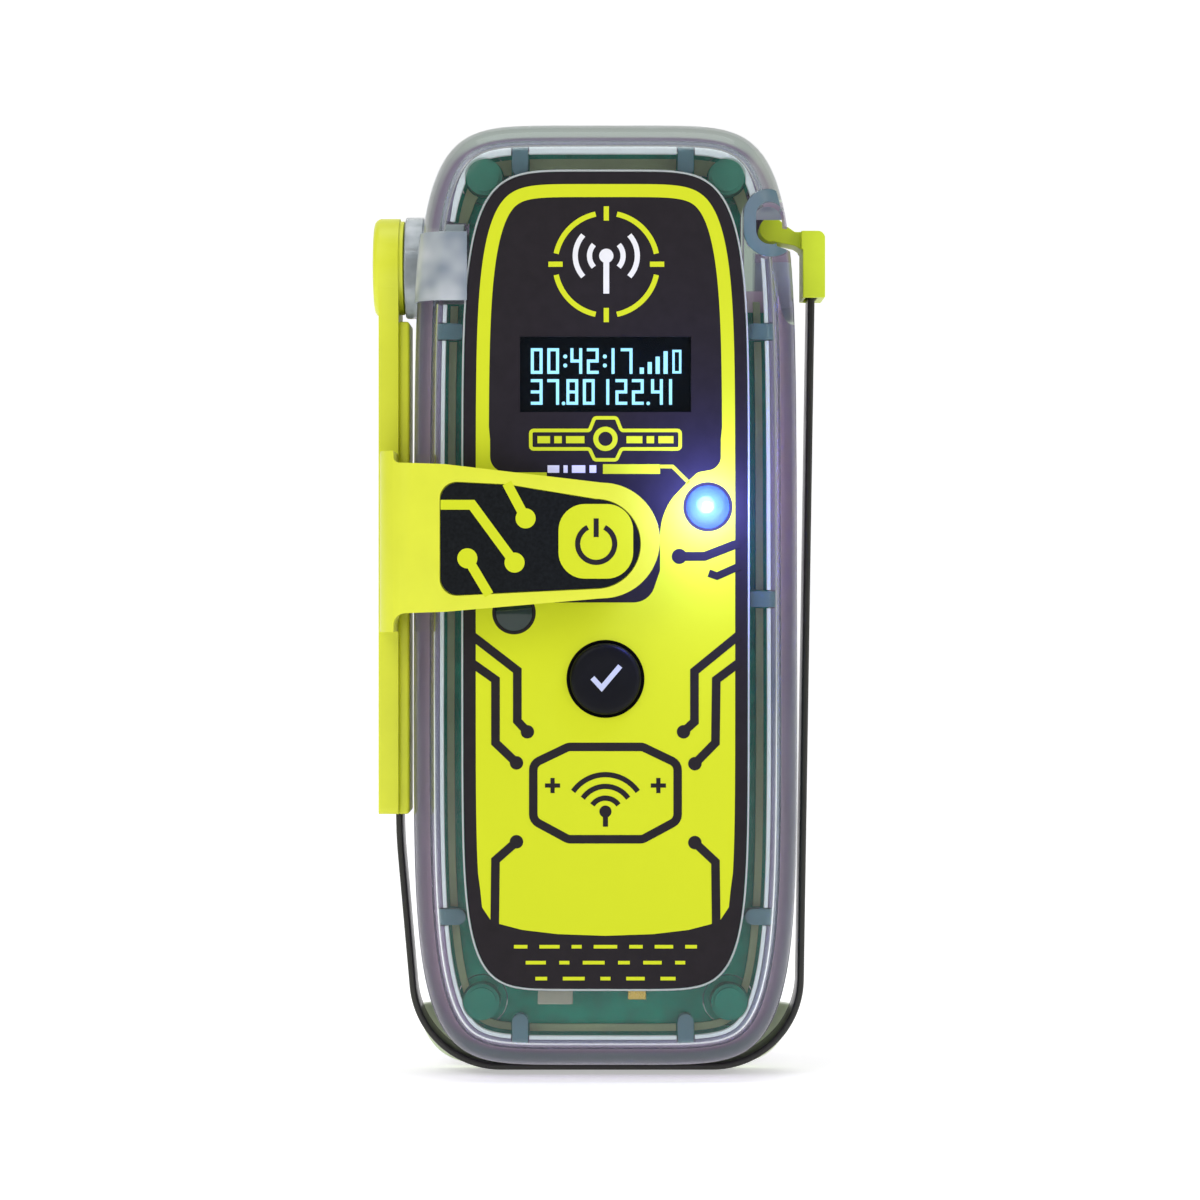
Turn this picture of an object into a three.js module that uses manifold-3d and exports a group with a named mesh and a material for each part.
// A personal locator beacon: a clear two-piece case with a printed front label, a display, two buttons
// and two lamps, and a strip antenna that is stowed round the case and hinged on its left side.
//
// Millimetres. +Z is up along the case and the front faces -Y. The origin is the middle of the flat back.
// Stowed, the antenna arm hangs down the left side with its tab over the ON button, and the strip runs
// on from the arm under the case and up the right side, where its tip hooks into a pocket.
import * as THREE from 'three';
import { mergeVertices } from 'three/addons/utils/BufferGeometryUtils.js';
import Module from 'manifold-3d';

const wasm = await Module();
wasm.setup();

// ---------------------------------------------------------------- driving dimensions
const GAP = 0.3; // clearance between touching pieces
const WALL = 1.8; // case wall
const FRONT = -32; // front face of the case
const SEAM = -19.5; // joint between the two case halves

// Each outline is a superellipse about its own middle: half width, top, bottom, and how square its ends are.
const CASE = { half: 23.1, top: 57, bottom: -56, powerTop: 6.2, powerBottom: 6, taper: 0.014, widest: -12 };
const LABEL = { half: 16.9, top: 50.9, bottom: -46.4, powerTop: 5.7, powerBottom: 6.8, taper: 0, widest: 0 };
const REAR_LABEL = { half: 14, top: 38, bottom: -38, powerTop: 9, powerBottom: 9, taper: 0, widest: 0 };
const OUTLINE_POINTS = 72;

// Depth profile of each half: [depth, inset from the case outline], from the seam outwards.
const FRONT_PROFILE = [[SEAM, 0.5], [-27.5, 0], [-29.7, 0.5], [-31.2, 1.5], [FRONT, 3.4]];
const REAR_PROFILE = [[SEAM - 0.01, 0.5], [-12, 0.9], [-4, 1.7], [-1.3, 2.8], [0, 4.8]];

const LABEL_THICK = 0.4;
const LABEL_RECESS = 0.7;
const REAR_LABEL_THICK = 0.4;

// Round features on the front face: x, z and radius.
const TEST = { x: 0, z: -9.5, r: 4.35 };
const ON = { x: -0.6, z: 7, r: 4.1 };
const STROBE = { x: 12.2, z: 11, r: 2.65 };
const INFRARED = { x: -10.9, z: -1.6, r: 2.3 };
const DISPLAY = { x: 0, z: 26.8, width: 20.4, height: 9 };

const BUTTON_PROUD = 1; // how far a key stands out of the front face
const KEY_FLANGE = 0.8; // how far a key's flange is wider than the key
const BOARD = { front: -27.2, thick: 1.2, inset: 3.3 };
const BOARD_BACK = BOARD.front + BOARD.thick;
const PART_LIFT = GAP; // solder gap under a board part

const SCREWS = [[-14.5, 50.5], [14.5, 50.5], [-14.8, -48.2], [14.8, -48.2]];
const SCREW = { boss: 2.7, head: 1.9, headThick: 1.6, shank: 1.05, hole: 1.4, tip: -25, recess: 2.3 };

const RIB = { width: 1.9, length: 4.6, back: -27.6 };
const SIDE_RIBS = [32, 0, -38];
const END_RIBS = [-10.2, 9.6];
const FEET = { front: -17.4, back: -14.8, proud: 1.5, root: 2, top: -36, halfGap: 5.5 };

// Hinge of the antenna arm: an axis along X on the left side.
const HINGE = { y: -21, z: 40.4 };
const BARREL = { r: 4.3, bore: 2, groove: 3.2, flange: 6.2, outer: -24.3, shoulder: -22, inner: -15.5 };
const SHAFT = { r: 1.7, waist: 1.1, outer: -27, inner: -13.9 };

const ARM = {
  outer: -27.4, face: -25, inner: -23.7, front: -26, back: -16, bottom: -26, headR: 6, headOuter: -28.1,
};

// The tab over the ON button: its root on the arm, its round tip, and the printed inlay set in its front.
const TAB = {
  front: -37.6, back: -35.4, outer: -26.7, bend: 4, rootZ: 7.2, root: 17.8, tipZ: 6.9, tip: 13.6, endX: 6.4,
};
const TAB_FILLET = { above: 0.7, below: 1.4 };
const INLAY = {
  left: -19.4, bottom: 0.4, top: 13.8, corner: 2, noseX: -1.15, noseZ: 6.5, noseR: 5.2, thick: 0.3,
};

// The strip's centreline: straight down from the arm, round two lower corners, and up the right side.
const STRIP = { thick: 0.8, front: -24.2, back: -17.8, radius: 10.7, bendsPerCorner: 5, joint: 0.3 };
const BEND_START = new THREE.Vector2(-25, -28.5);
const LEFT_CENTRE = new THREE.Vector2(-12.7, -46);
const RIGHT_CENTRE = new THREE.Vector2(13, -46);
const RIGHT_LEAN = THREE.MathUtils.degToRad(0.9); // outward lean of the run up the right side
const STRIP_TOP = 39.5;

// The antenna's tip hooks into a round dish in the right side, seen from the front through a window.
const DISH = { left: 18, r: 6.8, wall: 1.4 };
const WINDOW = { left: 18.1, right: 22, top: 48.3, bottom: 43.2, rim: 1.5 };
const GRIP = { left: 23.9, right: 26.6, bottom: 36.5, top: 44.6, front: -25.2, back: -16.8 };
const HOOK = { x: 20.2, z: 44.9, r: 1.5, front: -23.7, back: -18.3 };

const CELL = { r: 8.5, x: 9, y: -12.1, bottom: -39, top: -4.8, nub: 0.8, nubR: 3 };

// ---------------------------------------------------------------- materials
const material = (color, roughness, metalness = 0, opacity = 1) =>
  new THREE.MeshStandardMaterial({ color, roughness, metalness, opacity, transparent: opacity < 1 });
const clearCase = material(0x9aa5a8, 0.15, 0, 0.4);
const clearLens = material(0xb8c8e8, 0.1, 0, 0.5);
const limePlastic = material(0xd6e02a, 0.45);
const blackPrint = material(0x2b2628, 0.5);
const blackRubber = material(0x15161c, 0.6);
const blackStrip = material(0x1c1c16, 0.4);
const seal = material(0xd9ddd8, 0.6);
const boardGreen = material(0x0f6b55, 0.5);
const chipBlack = material(0x202225, 0.5);
const ceramic = material(0xcfc8ae, 0.6);
const steel = material(0xb9bcc0, 0.3, 1);
const brass = material(0xc9a54a, 0.3, 1);
const cellSleeve = material(0x2d5d9a, 0.5);
const holderWhite = material(0xd8d8d2, 0.6);
const wireRed = material(0xb02018, 0.5);
const wireBlack = material(0x18181a, 0.5);

// ---------------------------------------------------------------- shapes and solids
function solidOf(geometry) {
  const bare = geometry.index ? geometry.toNonIndexed() : geometry.clone();
  bare.deleteAttribute('normal');
  bare.deleteAttribute('uv');
  const merged = mergeVertices(bare, 1e-4);
  return new wasm.Manifold(new wasm.Mesh({
    numProp: 3,
    vertProperties: merged.attributes.position.array,
    triVerts: new Uint32Array(merged.index.array),
  }));
}

function geometryOf(solid) {
  const { vertProperties, triVerts } = solid.getMesh();
  const geometry = new THREE.BufferGeometry();
  geometry.setAttribute('position', new THREE.BufferAttribute(vertProperties, 3));
  geometry.setIndex(new THREE.BufferAttribute(triVerts, 1));
  geometry.computeVertexNormals();
  return geometry;
}

// The points (x, z) of an outline, moved inwards by inset along each point's own normal.
function outline(form, inset = 0, count = OUTLINE_POINTS) {
  const middle = (form.top + form.bottom) / 2;
  const half = (form.top - form.bottom) / 2;
  const points = [];
  for (let i = 0; i < count; i++) {
    const angle = ((i + 0.5) / count) * 2 * Math.PI;
    const [c, s] = [Math.cos(angle), Math.sin(angle)];
    const power = 2 / (s > 0 ? form.powerTop : form.powerBottom);
    const z = middle + half * Math.sign(s) * Math.abs(s) ** power;
    const narrowing = 1 - form.taper * ((z - form.widest) / half) ** 2;
    points.push(new THREE.Vector2(form.half * Math.sign(c) * Math.abs(c) ** power * narrowing, z));
  }
  return points.map((point, i) => {
    const before = points[(i + count - 1) % count];
    const after = points[(i + 1) % count];
    const along = after.clone().sub(point).normalize().add(point.clone().sub(before).normalize());
    return point.clone().add(new THREE.Vector2(-along.y, along.x).normalize().multiplyScalar(inset));
  });
}

// A closed solid through rings of equal length, each a list of (x, z) points at one depth.
function loft(rings) {
  const count = rings[0].points.length;
  const positions = rings.flatMap(({ y, points }) => points.flatMap((p) => [p.x, y, p.y]));
  const faces = [];
  const forwards = rings[rings.length - 1].y < rings[0].y;
  const add = (a, b, c) => faces.push(...(forwards ? [a, b, c] : [a, c, b]));
  for (let r = 0; r + 1 < rings.length; r++) {
    for (let i = 0; i < count; i++) {
      const [a, b] = [r * count + i, r * count + ((i + 1) % count)];
      add(a, b, b + count);
      add(a, b + count, a + count);
    }
  }
  const capOf = (ring) => THREE.ShapeUtils.triangulateShape(ring.points, []);
  const last = (rings.length - 1) * count;
  capOf(rings[0]).forEach(([a, b, c]) => add(a, c, b));
  capOf(rings[rings.length - 1]).forEach(([a, b, c]) => add(last + a, last + b, last + c));
  const geometry = new THREE.BufferGeometry();
  geometry.setAttribute('position', new THREE.Float32BufferAttribute(positions, 3));
  geometry.setIndex(faces);
  return geometry;
}

const profileLoft = (profile) => loft(profile.map(([y, inset]) => ({ y, points: outline(CASE, inset) })));

const shapeOf = (points) => new THREE.Shape(points);

// A flat shape in x and z, as thick as the range of depths.
function plate(shape, y0, y1, curveSegments = 8) {
  const geometry = new THREE.ExtrudeGeometry(shape, { depth: y1 - y0, bevelEnabled: false, curveSegments });
  return geometry.rotateX(Math.PI / 2).translate(0, y1, 0);
}

// A flat shape in y and z, as thick as the range of x.
function slab(shape, x0, x1, curveSegments = 8) {
  const geometry = new THREE.ExtrudeGeometry(shape, { depth: x1 - x0, bevelEnabled: false, curveSegments });
  const turn = new THREE.Matrix4().set(0, 0, 1, x0, 1, 0, 0, 0, 0, 1, 0, 0, 0, 0, 0, 1);
  return geometry.applyMatrix4(turn);
}

function block(x0, x1, y0, y1, z0, z1) {
  return new THREE.BoxGeometry(x1 - x0, y1 - y0, z1 - z0)
    .translate((x0 + x1) / 2, (y0 + y1) / 2, (z0 + z1) / 2);
}

const discY = (x, z, r, y0, y1, sides = 24) =>
  new THREE.CylinderGeometry(r, r, y1 - y0, sides).translate(x, (y0 + y1) / 2, z);

const discX = (y, z, r, x0, x1, sides = 24) =>
  new THREE.CylinderGeometry(r, r, x1 - x0, sides).rotateZ(Math.PI / 2).translate((x0 + x1) / 2, y, z);

// A body of revolution from (radius, height) points, which may be listed in either direction.
function lathe(profile, sides) {
  const points = profile.map(([r, h]) => new THREE.Vector2(r, h));
  return new THREE.LatheGeometry(THREE.ShapeUtils.isClockWise(points) ? points.reverse() : points, sides);
}

// A turned piece about an axis along Y at (x, z): profile points are (radius, depth).
const turnedY = (x, z, profile, sides = 24) => lathe(profile, sides).translate(x, 0, z);

// A turned piece about the hinge axis: profile points are (radius, x).
const turnedX = (profile, sides = 24) =>
  lathe(profile.map(([r, x]) => [r, -x]), sides).rotateZ(Math.PI / 2).translate(0, HINGE.y, HINGE.z);

const join = (...geometries) => geometries.map(solidOf).reduce((a, b) => a.add(b));
const cut = (solid, ...geometries) => geometries.map(solidOf).reduce((a, b) => a.subtract(b), solid);

function piece(name, geometry, look) {
  const mesh = new THREE.Mesh(geometry, look);
  mesh.name = name;
  return mesh;
}

// ---------------------------------------------------------------- case
// The dish is turned about the hinge's own axis, so that the tip stays clear as the arm swings.
const dish = (grow, from = DISH.left) => discX(HINGE.y, HINGE.z, DISH.r + grow, from - grow, 27, 36);

// The window through the front wall into the dish: a slot with round ends.
function windowShape(grow) {
  const { left, right, top, bottom } = WINDOW;
  const radius = (right - left) / 2;
  const shape = new THREE.Shape();
  shape.absarc(left + radius, top - radius, radius + grow, 0, Math.PI, false);
  shape.absarc(left + radius, bottom + radius, radius + grow, Math.PI, 2 * Math.PI, false);
  return shape;
}

function ribs() {
  const side = CASE.half - WALL;
  const across = SIDE_RIBS.flatMap((z) => [-1, 1].map((sign) => {
    const ends = [sign * (side + 0.6), sign * (side - RIB.length)].sort((a, b) => a - b);
    return block(...ends, FRONT + WALL - 0.2, RIB.back, z - RIB.width / 2, z + RIB.width / 2);
  }));
  const ends = END_RIBS.flatMap((x) => [CASE.top - WALL, CASE.bottom + WALL].map((edge) => {
    const inwards = Math.sign(edge) * RIB.length;
    const reach = [edge + Math.sign(edge) * 0.6, edge - inwards].sort((a, b) => a - b);
    return block(x - RIB.width / 2, x + RIB.width / 2, FRONT + WALL - 0.2, RIB.back, ...reach);
  }));
  return [...across, ...ends];
}

// The cutters for the hinge barrel: a bore through the side wall, and a wider counterbore for its flange.
function barrelSeat() {
  const { r, flange, shoulder, inner } = BARREL;
  return [discX(HINGE.y, HINGE.z, r + GAP, -26, inner - 0.6, 28),
    discX(HINGE.y, HINGE.z, flange + GAP, -26, shoulder + GAP, 40)];
}

function frontCase() {
  const cavity = loft([
    { y: SEAM + 0.5, points: outline(CASE, 0.5 + WALL) },
    { y: FRONT + WALL + 1.2, points: outline(CASE, 0.6 + WALL) },
    { y: FRONT + WALL, points: outline(CASE, 2 + WALL) },
  ]);
  const outer = solidOf(profileLoft(FRONT_PROFILE));
  const bosses = SCREWS.map(([x, z]) => discY(x, z, SCREW.boss, FRONT + WALL - 0.2, SEAM, 20));
  const rim = plate(windowShape(WINDOW.rim), FRONT + WALL - 0.2, HINGE.y - 4);
  const inside = join(...bosses, ...ribs(), rim, dish(DISH.wall));
  const recess = plate(shapeOf(outline(LABEL, -GAP)), FRONT - 1, FRONT + LABEL_RECESS);
  return cut(
    outer.subtract(solidOf(cavity)).add(inside.intersect(outer)),
    recess,
    dish(0),
    plate(windowShape(0), FRONT - 1, HINGE.y - 4),
    block(DISPLAY.x - DISPLAY.width / 2 - GAP, DISPLAY.x + DISPLAY.width / 2 + GAP, FRONT - 1, FRONT + 4,
      DISPLAY.z - DISPLAY.height / 2 - GAP, DISPLAY.z + DISPLAY.height / 2 + GAP),
    ...[TEST, ON, STROBE, INFRARED].map(({ x, z, r }) => discY(x, z, r + GAP, FRONT - 1, FRONT + 4)),
    ...SCREWS.map(([x, z]) => discY(x, z, SCREW.hole, SCREW.tip - 1, SEAM + 1, 16)),
    ...barrelSeat(),
  );
}

// Two low feet at the lower corners, behind the strip, that guide it and carry the beacon when it stands.
function feet() {
  const { front, back, proud, root, top, halfGap } = FEET;
  const rim = outline(CASE, -proud, OUTLINE_POINTS).filter((p) => p.y < top);
  const inner = outline(CASE, root, OUTLINE_POINTS).filter((p) => p.y < top).reverse();
  const whole = solidOf(plate(shapeOf([...rim, ...inner]), front, back));
  return whole.subtract(solidOf(block(-halfGap, halfGap, front - 1, back + 1, CASE.bottom - 4, CASE.bottom + 6)));
}

function rearCase() {
  const cavity = loft([
    { y: SEAM - 0.5, points: outline(CASE, 0.5 + WALL) },
    { y: -5, points: outline(CASE, 1.6 + WALL) },
    { y: -WALL - 0.4, points: outline(CASE, 3.4 + WALL) },
  ]);
  const outer = solidOf(profileLoft(REAR_PROFILE.map(([y, inset], i) => [i ? y : SEAM + GAP, inset])));
  const start = SEAM + GAP;
  const bosses = SCREWS.map(([x, z]) => discY(x, z, SCREW.boss, start, -WALL, 20));
  const inside = join(...bosses, dish(DISH.wall)).subtract(solidOf(block(-30, 30, -40, start, -60, 60)));
  return cut(
    outer.subtract(solidOf(cavity)).add(inside.intersect(outer)).add(feet()),
    plate(shapeOf(outline(REAR_LABEL, -GAP)), -REAR_LABEL_THICK - GAP, 1),
    dish(0),
    ...SCREWS.map(([x, z]) => discY(x, z, SCREW.hole, start - 1, 1, 16)),
    ...SCREWS.map(([x, z]) => discY(x, z, SCREW.head + GAP, -SCREW.recess, 1, 16)),
    ...barrelSeat(),
  );
}

// The rubber seal behind the seam: it follows the wall and passes inside the dish and the hinge.
function caseSeal() {
  const [front, back, width] = [SEAM - 0.6, SEAM + 0.7, 0.9];
  const within = (grow) => cut(
    solidOf(plate(shapeOf(outline(CASE, 0.5 + WALL + GAP + grow)), front, back)),
    ...SCREWS.map(([x, z]) => discY(x, z, SCREW.boss + GAP + grow, front - 1, back + 1, 20)),
    dish(DISH.wall + GAP + grow),
    block(-30, -12.6 + grow, front - 1, back + 1, HINGE.z - 5.6 - grow, HINGE.z + 5.6 + grow),
  );
  const loops = within(0).subtract(within(width)).decompose();
  return loops.sort((a, b) => b.volume() - a.volume())[0];
}

function caseScrew(x, z) {
  const headBack = -0.6;
  const neck = headBack - SCREW.headThick;
  const head = turnedY(x, z, [[0, SCREW.tip], [SCREW.shank * 0.6, SCREW.tip], [SCREW.shank, SCREW.tip + 0.8],
    [SCREW.shank, neck], [SCREW.head, neck], [SCREW.head, headBack], [0, headBack]], 14);
  const slot = [0, Math.PI / 2].map((turn) =>
    new THREE.BoxGeometry(2.4, 1.2, 0.5).rotateY(turn).translate(x, headBack, z));
  return cut(solidOf(head), ...slot);
}

// ---------------------------------------------------------------- labels, window and lenses
function frontLabel() {
  const sheet = shapeOf(outline(LABEL));
  const top = FRONT + LABEL_THICK;
  return cut(
    solidOf(plate(sheet, FRONT, top)),
    block(DISPLAY.x - DISPLAY.width / 2, DISPLAY.x + DISPLAY.width / 2, FRONT - 1, top + 1,
      DISPLAY.z - DISPLAY.height / 2, DISPLAY.z + DISPLAY.height / 2),
    ...[TEST, ON, STROBE, INFRARED].map(({ x, z, r }) => discY(x, z, r + GAP, FRONT - 1, top + 1)),
  );
}

const displayWindow = () => block(DISPLAY.x - DISPLAY.width / 2, DISPLAY.x + DISPLAY.width / 2,
  FRONT + LABEL_RECESS, FRONT + WALL, DISPLAY.z - DISPLAY.height / 2, DISPLAY.z + DISPLAY.height / 2);

const displayPanel = () => block(-11.5, 11.5, -29.8, -28.2, DISPLAY.z - 5.6, DISPLAY.z + 5.6);

function displayFrame() {
  const whole = block(-13, 13, -29.9, BOARD.front - GAP, DISPLAY.z - 7, DISPLAY.z + 7);
  return cut(solidOf(whole), block(-11.8, 11.8, -31, -20, DISPLAY.z - 5.9, DISPLAY.z + 5.9));
}

// A lens with a low dome in front and a wider flange behind the case wall.
function lens({ x, z, r }) {
  return turnedY(x, z, [[0, -29], [r * 0.7, -29], [r * 0.7, -29.4], [r + 0.5, -29.4], [r + 0.5, -29.9],
    [r - 0.1, -29.9], [r - 0.1, FRONT], [r * 0.7, FRONT - 0.3], [0, FRONT - 0.45]], 24);
}

// ---------------------------------------------------------------- buttons
function key({ x, z, r }) {
  const front = FRONT - BUTTON_PROUD;
  const behind = FRONT + WALL + GAP;
  const flange = r + KEY_FLANGE;
  return turnedY(x, z, [[0, behind + 0.9], [1.3, behind + 0.9], [1.3, behind + 0.5], [flange, behind + 0.5],
    [flange, behind], [r - 0.1, behind], [r - 0.1, front + 0.4], [r - 0.6, front], [0, front]], 28);
}

const keySwitch = ({ x, z }) => join(
  block(x - 2.6, x + 2.6, -28.2, BOARD.front - PART_LIFT, z - 2.6, z + 2.6),
  discY(x, z, 1.6, -28.5, -28.1, 16),
);

// ---------------------------------------------------------------- board and what is on it
function mainBoard() {
  const around = [
    ...SCREWS.map(([x, z]) => discY(x, z, SCREW.boss + 0.4, -30, -20, 18)),
    dish(DISH.wall + 0.4),
    plate(windowShape(WINDOW.rim + 0.4), -30, -20),
    block(-30, BARREL.inner - 0.9, -30, -20, HINGE.z - BARREL.r - 0.6, HINGE.z + BARREL.r + 0.6),
  ];
  return cut(solidOf(plate(shapeOf(outline(CASE, BOARD.inset)), BOARD.front, BOARD_BACK)), ...around);
}

// A part on the front or the back of the board, given its middle, size and height.
function onFront(x, z, width, height, tall) {
  return block(x - width / 2, x + width / 2, BOARD.front - PART_LIFT - tall, BOARD.front - PART_LIFT,
    z - height / 2, z + height / 2);
}
function onBack(x, z, width, height, tall) {
  return block(x - width / 2, x + width / 2, BOARD_BACK + PART_LIFT, BOARD_BACK + PART_LIFT + tall,
    z - height / 2, z + height / 2);
}

function shieldCan() {
  const [x, z, width, height, tall, sheet] = [0, 17, 26, 27, 3.2, 0.4];
  const inside = block(x - width / 2 + sheet, x + width / 2 - sheet, BOARD_BACK, BOARD_BACK + tall,
    z - height / 2 + sheet, z + height / 2 - sheet);
  return cut(solidOf(onBack(x, z, width, height, tall)), inside);
}

function antennaContact() {
  const [back, sheet] = [BOARD_BACK + PART_LIFT, 0.4];
  const strip = new THREE.Shape([[-13.4, HINGE.y + 1.5], [-13, HINGE.y + 1.5], [-13, HINGE.y - 2],
    [-11.6, back + sheet], [-8.4, back + sheet], [-8.4, back], [-11.8, back], [-13.4, HINGE.y - 2.1]]
    .map(([x, y]) => new THREE.Vector2(x, y)));
  return new THREE.ExtrudeGeometry(strip, { depth: 3, bevelEnabled: false }).translate(0, 0, HINGE.z - 1.5);
}

// ---------------------------------------------------------------- battery
function batteryCell(sign) {
  const { r, x, y, bottom, top, nub, nubR } = CELL;
  const [edge, shoulder] = [0.6, top - nub];
  const profile = [[0, bottom], [r - edge, bottom], [r, bottom + edge], [r, shoulder - edge], [r - edge, shoulder],
    [nubR, shoulder], [nubR, top], [0, top]];
  return lathe(profile, 24).rotateX(Math.PI / 2).translate(sign * x, y, 0);
}

function batteryHolder() {
  const { r, x, bottom, top } = CELL;
  const [side, back, lip] = [x + r - 0.4, -3.3, 0.9];
  return join(
    block(-side, side, back, back + 0.7, bottom - 1.4, top + 1.4),
    block(-side, side, -17, back + 0.7, bottom - 1.4, bottom - 1.4 + lip),
    block(-side, side, -17, back + 0.7, top + 1.4 - lip, top + 1.4),
  );
}

// A wire from the holder to the connector on the back of the board.
function batteryLead(sign) {
  const route = new THREE.CatmullRomCurve3([
    [sign * 5, -15.5, -2.9], [sign * 4.8, -15.8, -1.4], [sign * 3.6, -17.6, 0.2], [sign * 2, -20.4, -0.4],
    [sign * 1.2, -22, -2.4],
  ].map((p) => new THREE.Vector3(...p)));
  const section = new THREE.Shape().absarc(0, 0, 0.55, 0, 2 * Math.PI);
  const options = { steps: 12, curveSegments: 4, bevelEnabled: false, extrudePath: route };
  return new THREE.ExtrudeGeometry(section, options);
}

// ---------------------------------------------------------------- hinge
function hingeBarrel() {
  const { r, bore, groove, flange, outer, shoulder, inner } = BARREL;
  return turnedX([[bore, outer], [flange - 0.4, outer], [flange, outer + 0.4], [flange, shoulder - 0.2],
    [flange - 0.4, shoulder], [r, shoulder], [r, inner], [bore, inner], [bore, inner - 2.4],
    [groove, inner - 2.4], [groove, inner - 4], [bore, inner - 4], [bore, outer]], 28);
}

function hingeSeal() {
  const at = BARREL.inner - 3.2;
  const [tube, middle] = [0.45, 2.5];
  const circle = Array.from({ length: 9 }, (_, i) => {
    const angle = (i / 8) * 2 * Math.PI;
    return [middle + tube * Math.cos(angle), at + tube * Math.sin(angle)];
  });
  circle[8] = circle[0];
  return turnedX(circle, 20);
}

function hingeShaft() {
  const { r, waist, outer, inner } = SHAFT;
  const groove = inner - 1.1;
  return turnedX([[0, outer], [r, outer], [r, groove - 0.6], [waist, groove - 0.6], [waist, groove + 0.6],
    [r, groove + 0.6], [r, inner], [0, inner]], 20);
}

function hingeRing() {
  const at = SHAFT.inner - 1.1;
  return turnedX([[1.4, at - 0.3], [3, at - 0.3], [3, at + 0.3], [1.4, at + 0.3], [1.4, at - 0.3]], 20);
}

// ---------------------------------------------------------------- antenna arm
// The tab seen from the front: it narrows from the arm to a round end, and fillets lead into the arm.
function tabShape() {
  const { rootZ, root, tipZ, tip, endX } = TAB;
  const { above, below } = TAB_FILLET;
  const [low, high, radius] = [rootZ - root / 2, rootZ + root / 2, tip / 2];
  const shape = new THREE.Shape();
  shape.moveTo(ARM.outer, low - below);
  shape.lineTo(ARM.face, low - below);
  shape.quadraticCurveTo(ARM.face, low, ARM.face + below, low);
  shape.lineTo(endX - radius, tipZ - radius);
  shape.absarc(endX - radius, tipZ, radius, -Math.PI / 2, Math.PI / 2, false);
  shape.lineTo(ARM.face + above, high);
  shape.quadraticCurveTo(ARM.face, high, ARM.face, high + above);
  shape.lineTo(ARM.outer, high + above);
  return shape;
}

// The section across the arm and tab: up the side, round the bend and along the front.
function wrapSection() {
  const { front, back, bend, outer, endX } = TAB;
  const root = ARM.front + 2;
  const thick = back - front;
  const shape = new THREE.Shape();
  shape.moveTo(ARM.outer, root);
  shape.lineTo(outer, front + bend);
  shape.absarc(outer + bend, front + bend, bend, Math.PI, 1.5 * Math.PI, false);
  shape.lineTo(endX + 1, front);
  shape.lineTo(endX + 1, back);
  shape.lineTo(outer + bend, back);
  shape.absarc(outer + bend, front + bend, bend - thick, 1.5 * Math.PI, Math.PI, true);
  shape.lineTo(ARM.face, root);
  return shape;
}

function armSide() {
  const { front, back, bottom, headR } = ARM;
  const shape = new THREE.Shape();
  shape.moveTo(back, bottom);
  shape.lineTo(back, HINGE.z - 8);
  shape.absarc(HINGE.y, HINGE.z, headR, -0.5, Math.PI + 0.5, false);
  shape.lineTo(front, HINGE.z - 8);
  shape.lineTo(front, bottom);
  return shape;
}

function antennaArm() {
  const { outer, face, inner, front, back, bottom, headR, headOuter } = ARM;
  const reach = TAB.root + TAB_FILLET.above + TAB_FILLET.below;
  const side = solidOf(slab(armSide(), outer, face, 16));
  const head = solidOf(discX(HINGE.y, HINGE.z, headR, headOuter, face, 40));
  const sleeveTop = HINGE.z - BARREL.flange - 0.5;
  const sleeve = solidOf(block(face - 0.1, inner, front + 0.8, back - 0.8, bottom, sleeveTop));
  const options = { depth: reach, bevelEnabled: false, curveSegments: 12 };
  const wrap = new THREE.ExtrudeGeometry(wrapSection(), options)
    .translate(0, 0, TAB.rootZ - TAB.root / 2 - TAB_FILLET.below);
  const tab = solidOf(wrap).intersect(solidOf(plate(tabShape(), TAB.front - 1, ARM.front + 3, 20)));
  const slot = block(BEND_START.x - STRIP.thick / 2 - GAP, BEND_START.x + STRIP.thick / 2 + GAP,
    STRIP.front - GAP, STRIP.back + GAP, bottom - 1, bottom + 9);
  const inlay = plate(inlayShape(GAP), TAB.front - 1, TAB.front + INLAY.thick + GAP, 14);
  const socket = discX(HINGE.y, HINGE.z, SHAFT.r + GAP, SHAFT.outer - GAP, face + 1, 20);
  return cut(side.add(head).add(sleeve).add(tab), slot, inlay, socket);
}

// The dark printed inlay in the front of the tab.
function inlayShape(grow) {
  const { corner, noseX, noseZ } = INLAY;
  const [left, radius] = [INLAY.left - grow, INLAY.noseR + grow];
  const [low, high] = [INLAY.bottom - grow, INLAY.top + grow];
  const shape = new THREE.Shape();
  shape.moveTo(left, low + corner);
  shape.quadraticCurveTo(left, low, left + corner, low);
  shape.lineTo(noseX, noseZ - radius);
  shape.absarc(noseX, noseZ, radius, -Math.PI / 2, Math.PI / 2, false);
  shape.lineTo(left + corner, high);
  shape.quadraticCurveTo(left, high, left, high - corner);
  return shape;
}

// ---------------------------------------------------------------- antenna strip
// Where the strip's centreline turns, in x and z, at each of its two lower corners.
function stripCorners() {
  const toCentre = LEFT_CENTRE.clone().sub(BEND_START);
  const firstBend = Math.atan2(toCentre.x, -toCentre.y) - Math.asin(STRIP.radius / toCentre.length());
  const corner = (centre, from, to) => {
    const step = (to - from) / STRIP.bendsPerCorner;
    const reach = STRIP.radius / Math.cos(step / 2);
    return Array.from({ length: STRIP.bendsPerCorner }, (_, i) => {
      const angle = from + step * (i + 0.5);
      return new THREE.Vector2(centre.x + reach * Math.cos(angle), centre.y + reach * Math.sin(angle));
    });
  };
  return {
    left: corner(LEFT_CENTRE, Math.PI + firstBend, 1.5 * Math.PI),
    right: corner(RIGHT_CENTRE, -Math.PI / 2, -RIGHT_LEAN),
  };
}

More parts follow.
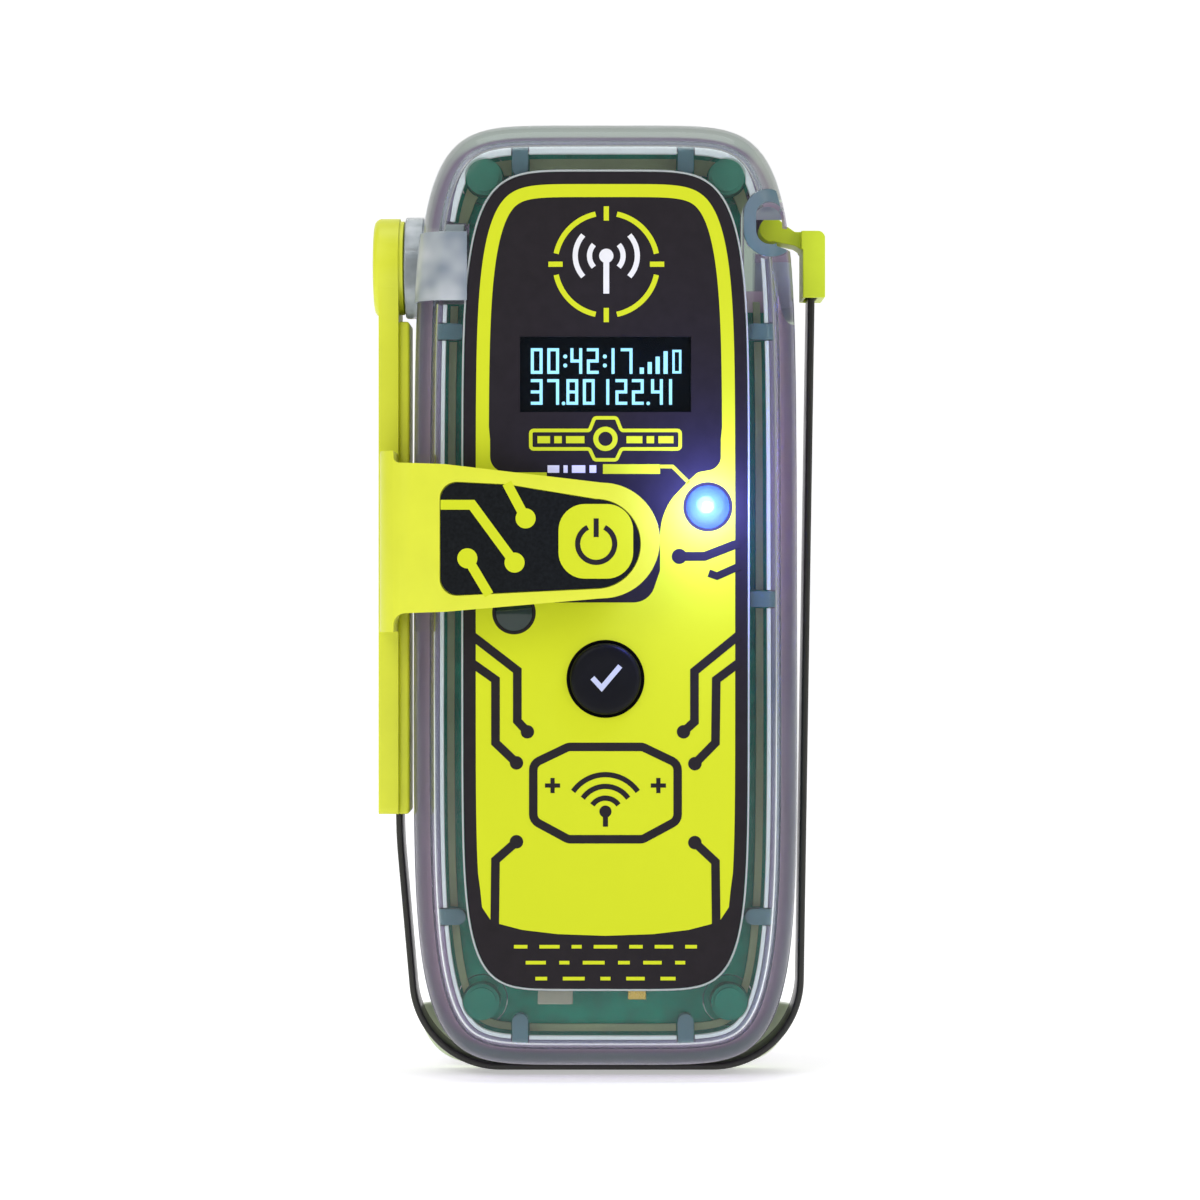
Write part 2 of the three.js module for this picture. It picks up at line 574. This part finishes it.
// A straight length of strip between two points of the centreline, short of them by the given amounts.
function stripLength(from, to, shortFrom = STRIP.joint, shortTo = STRIP.joint) {
  const along = to.clone().sub(from).normalize();
  const start = from.clone().addScaledVector(along, shortFrom);
  const end = to.clone().addScaledVector(along, -shortTo);
  const middle = start.clone().add(end).multiplyScalar(0.5);
  return new THREE.BoxGeometry(STRIP.thick, STRIP.back - STRIP.front, start.distanceTo(end))
    .rotateY(Math.atan2(along.x, along.y))
    .translate(middle.x, (STRIP.front + STRIP.back) / 2, middle.y);
}

// The root is fixed in the arm. Short links make the corners, and the foot and side are the straight runs.
function stripPieces() {
  const { left, right } = stripCorners();
  const last = right[right.length - 1];
  const rise = STRIP_TOP - last.y;
  const top = new THREE.Vector2(last.x + rise * Math.tan(RIGHT_LEAN), STRIP_TOP);
  const rootTop = new THREE.Vector2(BEND_START.x, ARM.bottom + 8.6);
  const links = (name, stations) => stations.slice(1).map((to, i) =>
    piece(`${name}_link_${i + 1}`, stripLength(stations[i], to), blackStrip));
  const root = join(stripLength(rootTop, BEND_START, 0, -0.05), stripLength(BEND_START, left[0], 0));
  return [
    piece('strip_root', geometryOf(root), blackStrip),
    ...links('left', left),
    piece('strip_foot', stripLength(left[left.length - 1], right[0]), blackStrip),
    ...links('right', right),
    piece('strip_side', stripLength(last, top), blackStrip),
  ];
}

// The moulded tip: a grip over the strip's end, and a hook that reaches into the pocket.
function antennaTip() {
  const { left, right, bottom, top, front, back } = GRIP;
  const corner = 0.9;
  const grip = new THREE.Shape();
  grip.moveTo(left, bottom);
  grip.lineTo(right, bottom);
  grip.lineTo(right, top - corner);
  grip.absarc(right - corner, top - corner, corner, 0, Math.PI / 2, false);
  grip.lineTo(left - 0.9, top);
  grip.lineTo(HOOK.x + 0.4, HOOK.z + HOOK.r - 0.1);
  grip.lineTo(HOOK.x, HOOK.z - HOOK.r + 0.1);
  grip.lineTo(left - 0.9, top - 1.7);
  grip.lineTo(left, top - 2.3);
  const hook = solidOf(discY(HOOK.x, HOOK.z, HOOK.r, HOOK.front, HOOK.back, 20));
  const body = solidOf(plate(grip, front, back, 5));
  const slimmed = cut(body, block(0, left - 0.2, front - 1, HOOK.front, 30, 60),
    block(0, left - 0.2, HOOK.back, back + 1, 30, 60));
  const slot = new THREE.BoxGeometry(STRIP.thick + 2 * GAP, STRIP.back - STRIP.front + 2 * GAP, 8)
    .rotateY(RIGHT_LEAN).translate(24.95, (STRIP.front + STRIP.back) / 2, bottom - 0.5);
  return cut(slimmed.add(hook), slot);
}

// ---------------------------------------------------------------- the beacon
const beacon = new THREE.Group();
const put = (name, made, look) =>
  beacon.add(piece(name, made.isBufferGeometry ? made : geometryOf(made), look));

put('front_case', frontCase(), clearCase);
put('rear_case', rearCase(), clearCase);
put('case_seal', caseSeal(), seal);
SCREWS.forEach(([x, z], i) => put(`case_screw_${i + 1}`, caseScrew(x, z), steel));
put('front_label', frontLabel(), blackPrint);
put('rear_label', plate(shapeOf(outline(REAR_LABEL)), -REAR_LABEL_THICK, 0), limePlastic);
put('display_window', displayWindow(), clearLens);
put('display_panel', displayPanel(), chipBlack);
put('display_frame', displayFrame(), holderWhite);
put('strobe_lens', lens(STROBE), clearLens);
put('infrared_lens', lens(INFRARED), clearLens);
put('on_button', key(ON), blackRubber);
put('test_button', key(TEST), blackRubber);

put('main_board', mainBoard(), boardGreen);
put('on_switch', keySwitch(ON), chipBlack);
put('test_switch', keySwitch(TEST), chipBlack);
put('strobe_lamp', onFront(STROBE.x, STROBE.z, 3.4, 3.4, 0.9), ceramic);
put('infrared_lamp', onFront(INFRARED.x, INFRARED.z, 3, 3, 0.9), chipBlack);
put('satellite_antenna', onFront(0, -24, 18, 18, 2.2), ceramic);
put('ceramic_filter', onFront(-6, -47.6, 4.2, 2, 1.2), ceramic);
put('tantalum_capacitor', onFront(3.8, -47.4, 2.2, 1.3, 1.1), brass);
put('processor_chip', onFront(0, -39, 9, 9, 1), chipBlack);
put('crystal', onFront(-9.5, -38, 3.2, 5, 1), steel);
put('shield_can', shieldCan(), steel);
put('battery_connector', onBack(0, -5.2, 6, 5, 3.4), holderWhite);
put('antenna_contact', antennaContact(), brass);

put('battery_cell_1', batteryCell(-1), cellSleeve);
put('battery_cell_2', batteryCell(1), cellSleeve);
put('battery_holder', batteryHolder(), holderWhite);
put('battery_lead_red', batteryLead(1), wireRed);
put('battery_lead_black', batteryLead(-1), wireBlack);

put('hinge_barrel', hingeBarrel(), clearCase);
put('hinge_seal', hingeSeal(), blackRubber);
put('hinge_shaft', hingeShaft(), steel);
put('hinge_ring', hingeRing(), steel);
put('antenna_arm', antennaArm(), limePlastic);
put('arm_inlay', plate(inlayShape(0), TAB.front, TAB.front + INLAY.thick, 14), blackPrint);
beacon.add(...stripPieces());
put('antenna_tip', antennaTip(), limePlastic);

export default beacon;
